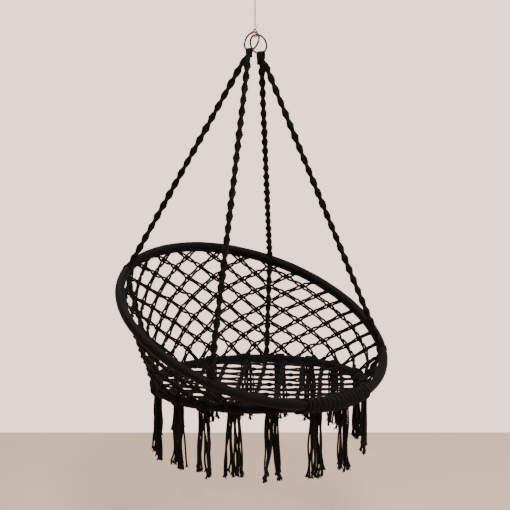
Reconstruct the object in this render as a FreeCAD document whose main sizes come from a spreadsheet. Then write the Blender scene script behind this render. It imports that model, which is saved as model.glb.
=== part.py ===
import FreeCAD, Part
import math
import os

# Macrame hanging hoop chair, in millimetres.
# +Z is up, the open front of the seat faces -Y, and the origin is where a hook bears
# inside the loop at the top of the hanging line.
# "Hang height" is the level at which the two steel rings hang from the line's knot.

Vector = FreeCAD.Vector
X_AXIS = Vector(1, 0, 0)
Z_AXIS = Vector(0, 0, 1)

doc = FreeCAD.newDocument("hanging_hoop_chair")
sheet = doc.addObject("Spreadsheet::Sheet", "Sizes")

SIZES = [
    ("hang_drop", 114.0),        # hook bearing point down to the hang height
    ("line_diameter", 3.2),
    ("line_loop_radius", 9.0),   # centre line of the top loop
    ("knot_loop_radius", 9.5),   # centre line of the loop through both rings
    ("knot_ball_radius", 4.0),
    ("knot_loop_sink", 4.5),     # centre of that loop below the hang height
    ("swing_gap", 0.8),          # room for the line to bend at the top knot
    ("ring_radius", 26.5),
    ("ring_wire", 5.0),
    ("ring_spacing", 6.4),       # between the two wires where they hang
    ("ring_lean", 19.5),         # degrees that each ring leans outwards
    ("left_ring_top", 1.0),      # wire centre below the hang height
    ("right_ring_top", 8.0),
    ("left_ring_turn", 4.5),     # degrees about the vertical
    ("right_ring_turn", 14.5),
    ("collar_gap", 1.2),
    ("collar_radius", 9.8),
    ("collar_width", 20.0),
    ("collar_length", 36.0),     # wire centre down to the end of the binding
    ("rope_diameter", 13.0),
    ("hitch_cord", 6.0),         # thickness of a rope's turn round the upper hoop
    ("tail_diameter", 9.0),
    ("tail_offset", 6.5),        # back rope tail behind the net
    ("front_rope_angle", 54.7),  # degrees round the hoop from its front
    ("back_left_angle", 141.0),
    ("back_right_angle", 135.0),
    ("upper_radius", 387.0),     # centre line of the big hoop
    ("upper_tube", 20.0),
    ("upper_sleeve", 26.0),
    ("upper_drop", 798.0),       # hang height down to the hoop's centre
    ("upper_shift", 6.0),        # hoop's centre behind the hanging line
    ("upper_tilt", 26.5),        # degrees, back edge high
    ("lower_radius", 297.0),     # centre line of the seat hoop
    ("lower_tube", 16.0),
    ("lower_wrap", 25.0),
    ("front_gap", 0.6),          # between sleeve and wrap where the hoops are lashed
    ("lower_sink", 5.0),         # seat hoop's centre line below the big hoop's lowest point
    ("tube_wall", 1.5),
    ("skin_gap", 0.2),           # sleeve or wrap to its tube
    ("soft_gap", 0.4),           # soft solid to its neighbour
    ("net_thickness", 1.2),
    ("net_end_angle", 21.0),     # degrees from the front where the back net starts
    ("seat_net_thickness", 2.0),
    ("lashing_cord", 4.0),
    ("lashing_angle", 16.5),     # degrees each side of the front
    ("lashing_turns", 13.0),
    ("tassel_length", 168.0),
    ("tassel_top_width", 26.0),
    ("tassel_end_width", 44.0),
    ("tassel_thickness", 16.0),
]

for row, (alias, value) in enumerate(SIZES, start=1):
    sheet.set(f"A{row}", alias)
    sheet.set(f"B{row}", str(value))
    sheet.setAlias(f"B{row}", alias)
doc.recompute()

# The tassels are tied by hand, so their places round the seat hoop are uneven.
TASSEL_ANGLES = [-10.5, 9, 42, 66, 90, 108, 127, 147, 169, 194, 219, 249, 273, 290, 306.5, 326]


def size(alias):
    return float(getattr(sheet, alias))


def finish(feature, label):
    feature.Label = label
    return feature


def plain_solid(label, shape, place=None):
    """A sub-part whose shape comes from Part's own functions."""
    feature = doc.addObject("Part::Feature", label)
    feature.Shape = shape
    feature.Placement = place or FreeCAD.Placement()
    return finish(feature, label)


def torus(name, ring_radius, tube_radius, place):
    """A torus whose two radii are expressions in the sheet's names."""
    feature = doc.addObject("Part::Torus", name)
    feature.setExpression("Radius1", ring_radius)
    feature.setExpression("Radius2", tube_radius)
    feature.Placement = place
    return feature


def difference(label, base, tool):
    feature = doc.addObject("Part::Cut", label)
    feature.Base = base
    feature.Tool = tool
    return finish(feature, label)


def union(label, pieces):
    feature = doc.addObject("Part::MultiFuse", label)
    feature.Shapes = pieces
    return finish(feature, label)


def placed(centre, along, across=X_AXIS):
    """Local Z points along, and local X as near to across as it can."""
    turn = FreeCAD.Rotation(across, Vector(), along, "ZXY")
    return FreeCAD.Placement(centre, turn)


def rod(start, end, radius):
    axis = end - start
    return Part.makeCylinder(radius, axis.Length, start, axis)


# ---------------------------------------------------------------- hoops as curves

hang_z = -size("hang_drop")
tilt = math.radians(size("upper_tilt"))
upper_centre = Vector(0, size("upper_shift"), hang_z - size("upper_drop"))
upper_place = FreeCAD.Placement(upper_centre, FreeCAD.Rotation(X_AXIS, size("upper_tilt")))
sleeve_radius = size("upper_sleeve") / 2
wrap_radius = size("lower_wrap") / 2


def upper_point(angle):
    """Point on the big hoop's centre line, angle in degrees from the front towards +X."""
    turn = math.radians(angle)
    radius = size("upper_radius")
    return upper_place.multVec(Vector(radius * math.sin(turn), -radius * math.cos(turn), 0))


def upper_tangent(angle):
    turn = math.radians(angle)
    return upper_place.Rotation.multVec(Vector(math.cos(turn), math.sin(turn), 0))


# The seat hoop is level and lies just inside the big hoop's lowest point.
hoop_pitch = sleeve_radius + wrap_radius + size("front_gap")
front_inset = math.sqrt(hoop_pitch ** 2 - size("lower_sink") ** 2)
hoop_front = upper_point(0)
lower_front = hoop_front + Vector(0, front_inset, -size("lower_sink"))
lower_centre = lower_front + Vector(0, size("lower_radius"), 0)
lower_place = FreeCAD.Placement(lower_centre, FreeCAD.Rotation())


def lower_point(angle):
    turn = math.radians(angle)
    radius = size("lower_radius")
    return lower_centre + Vector(radius * math.sin(turn), -radius * math.cos(turn), 0)


# ---------------------------------------------------------------- hanging line

line_radius = size("line_diameter") / 2
ball = size("knot_ball_radius")
flat_loop = FreeCAD.Rotation(X_AXIS, 90)

top_loop_centre = Vector(0, 0, line_radius - size("line_loop_radius"))
top_loop = torus("top_loop", "Sizes.line_loop_radius", "Sizes.line_diameter / 2",
                 FreeCAD.Placement(top_loop_centre, flat_loop))
top_knot_centre = top_loop_centre - Z_AXIS * (size("line_loop_radius") + ball / 2)
top_knot = doc.addObject("Part::Sphere", "top_knot")
top_knot.setExpression("Radius", "Sizes.knot_ball_radius")
top_knot.Placement.Base = top_knot_centre
union("line_top_loop", [top_loop, top_knot])

knot_loop_centre = Vector(0, 0, hang_z - size("knot_loop_sink"))
ring_loop = torus("ring_loop", "Sizes.knot_loop_radius", "Sizes.line_diameter / 2",
                  FreeCAD.Placement(knot_loop_centre, flat_loop))
low_knot_centre = knot_loop_centre + Z_AXIS * (size("knot_loop_radius") + ball / 2)
low_knot = doc.addObject("Part::Sphere", "low_knot")
low_knot.setExpression("Radius", "Sizes.knot_ball_radius")
low_knot.Placement.Base = low_knot_centre
union("line_knot", [ring_loop, low_knot])

line_top = top_knot_centre - Z_AXIS * (ball + size("swing_gap"))
line_bottom = low_knot_centre + Z_AXIS * (ball + size("soft_gap"))
line = doc.addObject("Part::Cylinder", "line")
line.setExpression("Radius", "Sizes.line_diameter / 2")
line.Height = line_top.z - line_bottom.z
line.Placement.Base = line_bottom
finish(line, "hanging_line")

# ---------------------------------------------------------------- steel rings and rope collars

lean = math.radians(size("ring_lean"))


def hang_ring(side, name, top_drop, turn):
    """A steel ring hung at its top wire, leaning outwards; returns its lowest wire point."""
    top = Vector(side * size("ring_spacing") / 2, 0, hang_z - size(top_drop))
    down = Vector(side * math.sin(lean), 0, -math.cos(lean))
    level = Vector(-math.sin(math.radians(size(turn))), math.cos(math.radians(size(turn))), 0)
    level = (level - down * level.dot(down)).normalize()
    centre = top + down * size("ring_radius")
    ring = torus(name, "Sizes.ring_radius", "Sizes.ring_wire / 2",
                 placed(centre, level.cross(down), level))
    finish(ring, name)
    return centre + down * size("ring_radius"), level


left_low, left_level = hang_ring(-1, "ring_left", "left_ring_top", "left_ring_turn")
right_low, right_level = hang_ring(1, "ring_right", "right_ring_top", "right_ring_turn")

rope_radius = size("rope_diameter") / 2


def rope_line(low, angle):
    """Straight run of one rope: from the collar's end to the turn round the big hoop."""
    target = upper_point(angle)
    along = (target - low).normalize()
    slope = math.hypot(along.x, along.y) / abs(along.z)
    drop = size("collar_length") + size("soft_gap")
    start = low + along * (drop / abs(along.z) + rope_radius * slope)
    return start, target, along


def make_rope(label, low, angle):
    start, target, along = rope_line(low, angle)
    hitch_radius = size("hitch_cord") / 2
    ring = sleeve_radius + size("soft_gap") + hitch_radius
    tangent = upper_tangent(angle)
    turn = Part.makeTorus(ring, hitch_radius, target, tangent)
    shape = rod(start, target - along * ring, rope_radius).fuse(turn)
    plain_solid(label, shape.removeSplitter())


def make_collar(label, low, level, angles):
    """An eye round the ring's wire that widens into the binding of two ropes."""
    width = size("collar_width")
    wire_rise = width ** 2 / (8 * size("ring_radius"))
    hole_radius = size("ring_wire") / 2 + wire_rise + size("collar_gap")
    eye = Part.makeCylinder(size("collar_radius"), width, low - level * (width / 2), level)
    ends = [rope_line(low, angle)[0] for angle in angles]
    middle = (ends[0] + ends[1]) * 0.5
    spread = ends[1] - ends[0]
    spread.z = 0
    down = Vector(0, 0, low.z - size("collar_length"))
    neck = Part.Ellipse(Vector(), width / 2, size("collar_radius") * 0.8)
    foot = Part.Ellipse(Vector(), spread.Length / 2 + rope_radius * 0.9, size("collar_radius"))
    neck_wire = Part.Wire(neck.toShape())
    foot_wire = Part.Wire(foot.toShape())
    neck_wire.Placement = placed(low - Z_AXIS * hole_radius, Z_AXIS, level)
    foot_wire.Placement = placed(Vector(middle.x, middle.y, down.z), Z_AXIS, spread)
    binding = Part.makeLoft([neck_wire, foot_wire], True)
    hole = Part.makeCylinder(hole_radius, width * 2, low - level * width, level)
    plain_solid(label, eye.fuse(binding).cut(hole).removeSplitter())


front = size("front_rope_angle")
back_left = -size("back_left_angle")
back_right = size("back_right_angle")
make_collar("rope_collar_left", left_low, left_level, (back_left, -front))
make_collar("rope_collar_right", right_low, right_level, (back_right, front))
make_rope("rope_back_left", left_low, back_left)
make_rope("rope_back_right", right_low, back_right)
make_rope("rope_front_left", left_low, -front)
make_rope("rope_front_right", right_low, front)

# ---------------------------------------------------------------- hoops: tube and covering


def make_hoop(name, tube_label, cover_label, radius, tube, cover, place):
    """A closed steel tube hoop, and the cloth or cord skin that covers it."""
    wall = f"{tube} / 2 - Sizes.tube_wall"
    outside = torus(f"{name}_outside", radius, f"{tube} / 2", place)
    inside = torus(f"{name}_inside", radius, wall, place)
    difference(tube_label, outside, inside)
    skin = torus(f"{name}_skin", radius, f"{cover} / 2", place)
    room = torus(f"{name}_room", radius, f"{tube} / 2 + Sizes.skin_gap", place)
    difference(cover_label, skin, room)


make_hoop("upper", "upper_hoop_tube", "upper_hoop_sleeve",
          "Sizes.upper_radius", "Sizes.upper_tube", "Sizes.upper_sleeve", upper_place)
make_hoop("lower", "lower_hoop_tube", "lower_hoop_wrap",
          "Sizes.lower_radius", "Sizes.lower_tube", "Sizes.lower_wrap", lower_place)

# ---------------------------------------------------------------- back net and rope tails

NET_POINTS = 41


def clear_of(tangent, along, radius):
    """Length along a slanting line that takes it to this distance from a tube's axis."""
    return radius / math.sqrt(1 - along.dot(tangent) ** 2)


def net_ends(angle):
    """Where the net leaves the sleeve and where it meets the wrap at one angle."""
    top = upper_point(angle)
    bottom = lower_point(angle)
    along = (bottom - top).normalize()
    level = Vector(math.cos(math.radians(angle)), math.sin(math.radians(angle)), 0)
    margin = size("soft_gap") + size("net_thickness")
    top = top + along * clear_of(upper_tangent(angle), along, sleeve_radius + margin)
    bottom = bottom - along * clear_of(level, along, wrap_radius + margin)
    return top, bottom


def net_shell():
    """A thin skin stretched between the hoops, from one end of the lashing to the other."""
    first = size("net_end_angle")
    step = (360 - 2 * first) / (NET_POINTS - 1)
    ends = [net_ends(first + step * i) for i in range(NET_POINTS)]
    outward = [Vector(t.x, t.y - lower_centre.y, 0).normalize() for t, _ in ends]
    inner = []
    outer = []
    for rim in (0, 1):
        points = [pair[rim] for pair in ends]
        moved = [p + w * size("net_thickness") for p, w in zip(points, outward)]
        for group, run in ((inner, points), (outer, moved)):
            curve = Part.BSplineCurve()
            curve.interpolate(run)
            group.append(curve.toShape())
    faces = [Part.makeRuledSurface(inner[0], inner[1]), Part.makeRuledSurface(outer[0], outer[1]),
             Part.makeRuledSurface(inner[0], outer[0]), Part.makeRuledSurface(inner[1], outer[1])]
    for i in (0, -1):
        corners = [ends[i][0], ends[i][1]]
        corners += [p + outward[i] * size("net_thickness") for p in reversed(corners)]
        faces.append(Part.Face(Part.makePolygon(corners + corners[:1])))
    shell = Part.makeShell(faces)
    shell.sewShape()
    solid = Part.makeSolid(shell)
    if solid.Volume < 0:
        solid.reverse()
    return solid


plain_solid("back_net", net_shell())


def make_tail(label, angle):
    """The back rope's tail, from its turn on the big hoop down behind the net."""
    top = upper_point(angle)
    bottom = lower_point(angle)
    along = (bottom - top).normalize()
    tangent = upper_tangent(angle)
    radius = size("tail_diameter") / 2
    behind = Vector(top.x, top.y - lower_centre.y, 0)
    behind = (behind - along * behind.dot(along)).normalize() * size("tail_offset")
    hitched = sleeve_radius + size("hitch_cord") + 2 * size("soft_gap")
    first = clear_of(tangent, along, hitched) + radius * abs(along.dot(tangent))
    last = wrap_radius + size("soft_gap")
    start = top + along * first + behind
    end = bottom - along * last + behind
    plain_solid(label, rod(start, end, radius))


make_tail("rope_tail_left", back_left)
make_tail("rope_tail_right", back_right)

# ---------------------------------------------------------------- lashing of the two hoops


def lower_in_plane(point, normal, guess):
    """Seat hoop point in the plane through point, by Newton's rule on the hoop angle."""
    angle = guess
    for _ in range(6):
        here = (lower_point(angle) - point).dot(normal)
        slope = ((lower_point(angle + 0.01) - point).dot(normal) - here) / 0.01
        angle -= here / slope
    return lower_point(angle)


def lashing_turn(angle):
    """One turn of cord: a slot-shaped loop round both hoops in a plane across them."""
    cord = size("lashing_cord") / 2
    bend = max(sleeve_radius, wrap_radius) + size("soft_gap") + cord
    one = upper_point(angle)
    normal = (upper_tangent(angle) + Vector(X_AXIS)).normalize()
    two = lower_in_plane(one, normal, angle * size("upper_radius") / size("lower_radius"))
    across = (two - one).normalize()
    side = normal.cross(across) * bend
    a, b, c, d = one + side, two + side, two - side, one - side
    path = Part.Wire([Part.LineSegment(a, b).toShape(),
                      Part.Arc(b, two + across * bend, c).toShape(),
                      Part.LineSegment(c, d).toShape(),
                      Part.Arc(d, one - across * bend, a).toShape()])
    profile = Part.Wire(Part.Circle(a, across, cord).toShape())
    return path.makePipeShell([profile], True, False)


turns = int(size("lashing_turns"))
reach = size("lashing_angle")
lashing = [lashing_turn(-reach + 2 * reach * i / (turns - 1)) for i in range(turns)]
plain_solid("front_lashing", Part.makeCompound(lashing))

# ---------------------------------------------------------------- seat net and tassels

# The lashing reaches further round the smaller hoop, and the seat net stops short of it.
lashed_reach = reach * size("upper_radius") / size("lower_radius") + 2
lashed_depth = max(sleeve_radius, wrap_radius) + size("lashing_cord") + 2 * size("soft_gap")

disc = doc.addObject("Part::Cylinder", "disc")
disc.setExpression("Radius", "Sizes.lower_radius - Sizes.lower_wrap / 2 - Sizes.soft_gap")
disc.setExpression("Height", "Sizes.seat_net_thickness")
disc.Placement.Base = lower_centre - Z_AXIS * (size("seat_net_thickness") / 2)
room = torus("lashing_room", "Sizes.lower_radius",
             "max(Sizes.upper_sleeve; Sizes.lower_wrap) / 2 + Sizes.lashing_cord + 2 * Sizes.soft_gap",
             FreeCAD.Placement(lower_centre, FreeCAD.Rotation(Z_AXIS, -90 - lashed_reach)))
room.Angle3 = 2 * lashed_reach
difference("seat_net", disc, room)

for number, angle in enumerate(TASSEL_ANGLES, start=1):
    half = size("tassel_thickness") / 2
    upper_end = Part.Wire(Part.Ellipse(Vector(), size("tassel_top_width") / 2, half).toShape())
    lower_end = Part.Wire(Part.Ellipse(Vector(), size("tassel_end_width") / 2, half).toShape())
    lower_end.translate(Z_AXIS * -size("tassel_length"))
    bundle = Part.makeLoft([lower_end, upper_end], True)
    depth = lashed_depth if abs(angle) < lashed_reach else wrap_radius + size("soft_gap")
    head = lower_point(angle) - Z_AXIS * depth
    place = FreeCAD.Placement(head, FreeCAD.Rotation(Z_AXIS, angle))
    plain_solid(f"tassel_{number:02d}", bundle, place)

# ---------------------------------------------------------------- check and write

doc.recompute()
inner_names = {"Sizes", "top_loop", "top_knot", "ring_loop", "low_knot", "disc", "lashing_room"}
inner_names |= {f"{hoop}_{part}" for hoop in ("upper", "lower")
                for part in ("outside", "inside", "skin", "room")}
sub_parts = [item for item in doc.Objects if item.Name not in inner_names]
for item in doc.Objects:
    if "Invalid" in item.State or "Error" in item.State:
        raise RuntimeError(f"{item.Label} failed to recompute")
os.makedirs("parts", exist_ok=True)
for item in sub_parts:
    if item.Shape.isNull() or not item.Shape.isValid():
        raise RuntimeError(f"{item.Label} has no valid shape")
    if item.Shape.Volume <= 0:
        raise RuntimeError(f"{item.Label} is inside out")
for item in sub_parts:
    item.Shape.exportStep(f"parts/{item.Label}.step")
    print(f"{item.Label:22s} {item.Shape.Volume:12.1f} mm3  {len(item.Shape.Solids)} solids")
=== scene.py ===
# %% [markdown]
# # A knotted hoop chair
#
# The chair is a big tilted hoop in a cloth sleeve and a smaller level hoop below it. Black cotton
# cord is knotted into a net between the two hoops and across the lower one, and hangs from it in
# tassels. Four knotted ropes gather in two steel rings on a line. The hard parts come ready made
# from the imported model. This file makes everything that is cloth or cord around them, in metres
# and in the same frame: z is up, the open front of the chair looks along -y, and the origin is
# where the line hangs from its hook.

# %% Load the frame
import math

import bpy
import numpy as np
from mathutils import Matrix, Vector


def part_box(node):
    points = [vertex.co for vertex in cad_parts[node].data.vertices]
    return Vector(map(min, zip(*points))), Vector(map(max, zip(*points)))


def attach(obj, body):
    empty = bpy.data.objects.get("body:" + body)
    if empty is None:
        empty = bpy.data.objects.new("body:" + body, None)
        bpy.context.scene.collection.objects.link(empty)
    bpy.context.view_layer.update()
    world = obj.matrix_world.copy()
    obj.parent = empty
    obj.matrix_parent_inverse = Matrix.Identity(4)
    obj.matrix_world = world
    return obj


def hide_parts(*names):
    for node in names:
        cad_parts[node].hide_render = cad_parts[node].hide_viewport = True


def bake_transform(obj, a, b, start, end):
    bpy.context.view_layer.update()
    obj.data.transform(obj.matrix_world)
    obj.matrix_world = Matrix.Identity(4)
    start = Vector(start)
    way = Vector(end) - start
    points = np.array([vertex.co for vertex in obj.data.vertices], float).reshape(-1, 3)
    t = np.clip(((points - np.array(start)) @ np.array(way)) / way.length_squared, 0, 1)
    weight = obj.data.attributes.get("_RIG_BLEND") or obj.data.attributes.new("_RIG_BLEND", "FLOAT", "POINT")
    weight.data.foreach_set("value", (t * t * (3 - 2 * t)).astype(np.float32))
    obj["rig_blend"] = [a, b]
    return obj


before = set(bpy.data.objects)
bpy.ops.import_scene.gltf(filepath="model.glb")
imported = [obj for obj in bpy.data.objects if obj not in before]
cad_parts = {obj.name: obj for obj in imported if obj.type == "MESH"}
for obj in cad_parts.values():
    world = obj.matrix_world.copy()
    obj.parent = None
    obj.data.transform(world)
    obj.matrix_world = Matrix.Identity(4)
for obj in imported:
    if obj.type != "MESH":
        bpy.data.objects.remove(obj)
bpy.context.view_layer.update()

MM = 0.001                                 # one millimetre
chance = np.random.default_rng(7)

# %% [markdown]
# ## The camera
#
# The camera comes first, because how much of a cord shows is measured in its view. It looks from
# the front left of the chair and a little down. A camera close by with a short lens would show the
# same things, but it would stretch the near side of the hoops and fan the ropes out. So it stands
# three metres off with a long lens.

# %% Camera
SENSOR = 36.0
LENS = 79.037
CAMERA_PLACE = (-2.0216, -2.3714, -0.3268)
LOOK_TURN = math.radians(40.445)
LOOK_DOWN = math.radians(7.370)
camera_data = bpy.data.cameras.new("camera")
camera_data.sensor_width = SENSOR
camera_data.lens = LENS
camera_data.clip_start = 0.05
camera_data.clip_end = 60
camera = bpy.data.objects.new("camera", camera_data)
bpy.context.scene.collection.objects.link(camera)
camera.location = CAMERA_PLACE
camera.rotation_euler = (math.radians(90) - LOOK_DOWN, 0, -LOOK_TURN)
bpy.context.scene.camera = camera
print("camera at", tuple(round(value, 3) for value in camera.location))

# %% [markdown]
# ## Directions and hoops
#
# Everything on this chair follows one of two hoops, so the first helpers find the hoops and give,
# at any angle from the front, the point on the hoop and three directions there. A hoop's radius,
# middle and tilt come from the box of the tube or covering that the model holds: a torus of
# radius R and thickness r, tilted by t, is R + r wide, R cos t + r deep and R sin t + r high on
# each side of its middle.

# %% Hoops from their boxes
SLEEVE_RADIUS = 13 * MM
WRAP_RADIUS = 12.5 * MM


def unit(vector):
    """Each vector divided by its own length."""
    return vector / np.maximum(np.linalg.norm(vector, axis=-1, keepdims=True), 1e-12)


def dot(one, two):
    """Scalar product along the last axis, kept as a column."""
    return np.sum(one * two, axis=-1, keepdims=True)


def hoop_of(node, tube_radius):
    """Middle, radius and tilt of a ring-shaped node from its box and its tube's radius."""
    low, high = (np.array(corner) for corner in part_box(node))
    half = (high - low) / 2 - tube_radius
    return {"centre": (low + high) / 2, "radius": half[0], "tube": tube_radius,
            "tilt": math.atan2(half[2], half[1]) if half[2] > MM else 0.0}


def around(hoop, angle):
    """Point, outward, upward and onward directions of a hoop at an angle from its front.

    With t the tilt, outward = (sin a, -cos a cos t, -cos a sin t), upward = (0, -sin t, cos t),
    onward = (cos a, sin a cos t, sin a sin t), and the point is centre + radius x outward.
    """
    angle = np.asarray(angle, float)
    sin, cos = np.sin(angle), np.cos(angle)
    lean_sin, lean_cos = math.sin(hoop["tilt"]), math.cos(hoop["tilt"])
    outward = np.stack([sin, -cos * lean_cos, -cos * lean_sin], -1)
    upward = np.broadcast_to([0, -lean_sin, lean_cos], outward.shape)
    onward = np.stack([cos, sin * lean_cos, sin * lean_sin], -1)
    return hoop["centre"] + hoop["radius"] * outward, outward, upward, onward


big_hoop = hoop_of("upper_hoop_sleeve", SLEEVE_RADIUS)
seat_hoop = hoop_of("lower_hoop_wrap", WRAP_RADIUS)
for name, hoop in (("big hoop", big_hoop), ("seat hoop", seat_hoop)):
    print(name, "radius", round(hoop["radius"], 4), "tilt", round(math.degrees(hoop["tilt"]), 2))

# %% [markdown]
# ## Cords as tubes
#
# Every cord on the chair is a thin round tube, and there are thousands of them, so one helper
# makes many tubes at once from an array of paths. A curve with a bevel would do for one cord, but
# an array of tubes keeps each cord's own face count under control and gives each a UV map whose U
# counts turns round the cord and whose V is the length along it in metres. The whole number that
# is added to U is the cord's own, so a pattern can differ from cord to cord.

# %% Tubes
def cord_tubes(paths, across, radius, sides=6, closed=False, weight=None):
    """Many round tubes at once, from paths of shape (cords, points, 3).

    At each point p of a path with direction t, u is `across` made square to t and w = t x u. The
    ring there is p + r (cos a u + sin a w) for a all the way round.
    """
    paths = np.asarray(paths, float)
    cords, steps = paths.shape[:2]
    if closed:
        along = np.roll(paths, -1, 1) - np.roll(paths, 1, 1)
    else:
        along = np.gradient(paths, axis=1)
    along = unit(along)
    across = np.broadcast_to(across, paths.shape)
    u = unit(across - dot(across, along) * along)
    w = np.cross(along, u)
    angle = np.arange(sides) * 2 * np.pi / sides
    ring = (u[:, :, None] * np.cos(angle)[:, None] + w[:, :, None] * np.sin(angle)[:, None])
    radius = np.broadcast_to(radius, (cords, steps))
    points = paths[:, :, None] + ring * radius[:, :, None, None]

    ids = np.arange(cords * steps * sides).reshape(cords, steps, sides)
    after = np.roll(ids, -1, 1) if closed else ids[:, 1:]
    before = ids if closed else ids[:, :-1]
    quads = np.stack([before, np.roll(before, -1, 2), np.roll(after, -1, 2), after], -1)

    step = np.linalg.norm(np.diff(paths, axis=1, append=paths[:, :1]), axis=-1)
    length = np.concatenate([np.zeros((cords, 1)), np.cumsum(step, 1)], 1)
    here = length[:, :quads.shape[1], None]
    there = length[:, 1:quads.shape[1] + 1, None]
    turn = np.arange(sides) / sides + np.arange(cords)[:, None, None]
    turn, here, there = np.broadcast_arrays(turn, here, there)
    next_turn = turn + 1 / sides
    uv = np.stack([np.stack([turn, here], -1), np.stack([next_turn, here], -1),
                   np.stack([next_turn, there], -1), np.stack([turn, there], -1)], -2)
    corners, sizes, uv = quads.ravel(), np.full(quads.size // 4, 4), uv.reshape(-1, 2)
    if not closed:
        caps = np.concatenate([ids[:, 0, ::-1], ids[:, -1]])
        corners = np.concatenate([corners, caps.ravel()])
        sizes = np.concatenate([sizes, np.full(len(caps), sides)])
        uv = np.concatenate([uv, np.zeros((caps.size, 2))])
    if weight is not None:
        weight = np.repeat(np.broadcast_to(weight, (cords, steps)).ravel(), sides)
    return {"points": points.reshape(-1, 3), "corners": corners, "sizes": sizes, "uv": uv,
            "weight": weight}


# %% [markdown]
# A few dozen pieces are built from such parts, so one helper puts any number of parts into one
# mesh, gives it its material, hangs it from the body that carries it and hides the plain solids of
# the model that it stands for. A piece that joins two bodies, such as the net, has a weight at each
# point: 0 follows the first body and 1 the second.

# %% Pieces
def make_piece(name, parts, material, body, stands_for=()):
    """One mesh object from parts. body is a body's name, or two names for a piece that bends."""
    starts = np.cumsum([0] + [len(part["points"]) for part in parts])
    points = np.concatenate([part["points"] for part in parts])
    corners = np.concatenate([part["corners"] + start for part, start in zip(parts, starts)])
    sizes = np.concatenate([part["sizes"] for part in parts])
    mesh = bpy.data.meshes.new(name)
    mesh.vertices.add(len(points))
    mesh.vertices.foreach_set("co", points.ravel())
    mesh.loops.add(len(corners))
    mesh.loops.foreach_set("vertex_index", corners)
    mesh.polygons.add(len(sizes))
    mesh.polygons.foreach_set("loop_start", np.concatenate([[0], np.cumsum(sizes)[:-1]]))
    mesh.update(calc_edges=True)
    mesh.polygons.foreach_set("use_smooth", np.ones(len(sizes), bool))
    layer = mesh.uv_layers.new(name="cord")
    layer.uv.foreach_set("vector", np.concatenate([part["uv"] for part in parts]).ravel())
    mesh.materials.append(material)
    piece = bpy.data.objects.new(name, mesh)
    bpy.context.scene.collection.objects.link(piece)
    if isinstance(body, str):
        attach(piece, body)
    else:
        # The two ends only make the attribute. Each point's own weight then goes into it.
        middle = points.mean(0)
        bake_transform(piece, body[0], body[1], start=middle, end=middle - [0, 0, 0.1])
        weight = np.concatenate([part["weight"] for part in parts]).astype(np.float32)
        mesh.attributes["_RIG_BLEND"].data.foreach_set("value", weight)
    if stands_for:
        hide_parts(*stands_for)
    print(f"{name}: {len(points)} points, {int(np.sum(sizes - 2))} triangles")
    return piece


# %% [markdown]
# ## Routes and smooth paths
#
# A rope's route is a NURBS curve with a few control points, and its strands follow points read
# from that curve. Short cords inside a knot follow a B-spline worked out here as arrays, because
# hundreds of them are needed at once.

# %% Routes
def read_route(points, spacing):
    """Evenly spaced points along the NURBS curve that has these control points."""
    points = np.asarray(points, float)
    curve = bpy.data.curves.new("route", "CURVE")
    curve.dimensions = "3D"
    spline = curve.splines.new("NURBS")
    spline.points.add(len(points) - 1)
    spline.points.foreach_set("co", np.c_[points, np.ones(len(points))].ravel())
    spline.order_u = 3
    spline.use_endpoint_u = True
    spline.resolution_u = 24
    holder = bpy.data.objects.new("route", curve)
    mesh = bpy.data.meshes.new_from_object(holder)
    route = np.zeros(len(mesh.vertices) * 3)
    mesh.vertices.foreach_get("co", route)
    route = route.reshape(-1, 3)
    bpy.data.objects.remove(holder)
    bpy.data.curves.remove(curve)
    bpy.data.meshes.remove(mesh)
    run = np.concatenate([[0], np.cumsum(np.linalg.norm(np.diff(route, axis=0), axis=1))])
    even = np.linspace(0, run[-1], int(run[-1] / spacing) + 2)
    return np.stack([np.interp(even, run, route[:, axis]) for axis in range(3)], -1)


def length_of(route):
    """Summed distance from point to point."""
    return float(np.sum(np.linalg.norm(np.diff(route, axis=0), axis=1)))


def soft_paths(control, steps):
    """Cubic B-splines through arrays of control points (cords, controls, 3), ends held.

    Each end point is repeated, and a span is the sum of four controls with the weights
    (1-s)^3/6, (3s^3-6s^2+4)/6, (-3s^3+3s^2+3s+1)/6 and s^3/6.
    """
    control = np.asarray(control, float)
    first, last = control[:, :1], control[:, -1:]
    held = np.concatenate([first, first, control, last, last], 1)
    spans = held.shape[1] - 3
    place = np.linspace(0, spans, steps)
    span = np.minimum(place.astype(int), spans - 1)
    s = (place - span)[None, :, None]
    weights = ((1 - s) ** 3 / 6, (3 * s ** 3 - 6 * s ** 2 + 4) / 6,
               (-3 * s ** 3 + 3 * s ** 2 + 3 * s + 1) / 6, s ** 3 / 6)
    return sum(held[:, span + i] * weight for i, weight in enumerate(weights))


# %% [markdown]
# ## Finishes
#
# A material is made of nodes. One function turns a hex colour, which is what a paint chart or a
# screen gives, into the linear numbers that the shader needs, and one function adds a node with
# its settings and links. The finishes are then built from sums, noises and bumps, so each of these
# has a short helper of its own.

# %% Material helpers
def colour(code):
    """Linear RGBA from an sRGB hex code: c/12.92 below 0.04045, else ((c+0.055)/1.055)^2.4."""
    channels = [int(code[i:i + 2], 16) / 255 for i in (1, 3, 5)]
    return [c / 12.92 if c <= 0.04045 else ((c + 0.055) / 1.055) ** 2.4 for c in channels] + [1.0]


def add_node(material, kind, inputs, **settings):
    """Adds a node; each input is a value or another node's output socket."""
    tree = material.node_tree
    node = tree.nodes.new(kind)
    for key, value in settings.items():
        setattr(node, key, value)
    for socket, value in inputs.items():
        if isinstance(value, bpy.types.NodeSocket):
            tree.links.new(value, node.inputs[socket])
        else:
            node.inputs[socket].default_value = value
    return node


def new_material(name):
    """An empty node material with its Principled shader and the object and UV coordinates."""
    material = bpy.data.materials.new(name)
    material.use_nodes = True
    shader = material.node_tree.nodes["Principled BSDF"]
    place = add_node(material, "ShaderNodeTexCoord", {})
    return material, shader, place.outputs["Object"], place.outputs["UV"]


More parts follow.
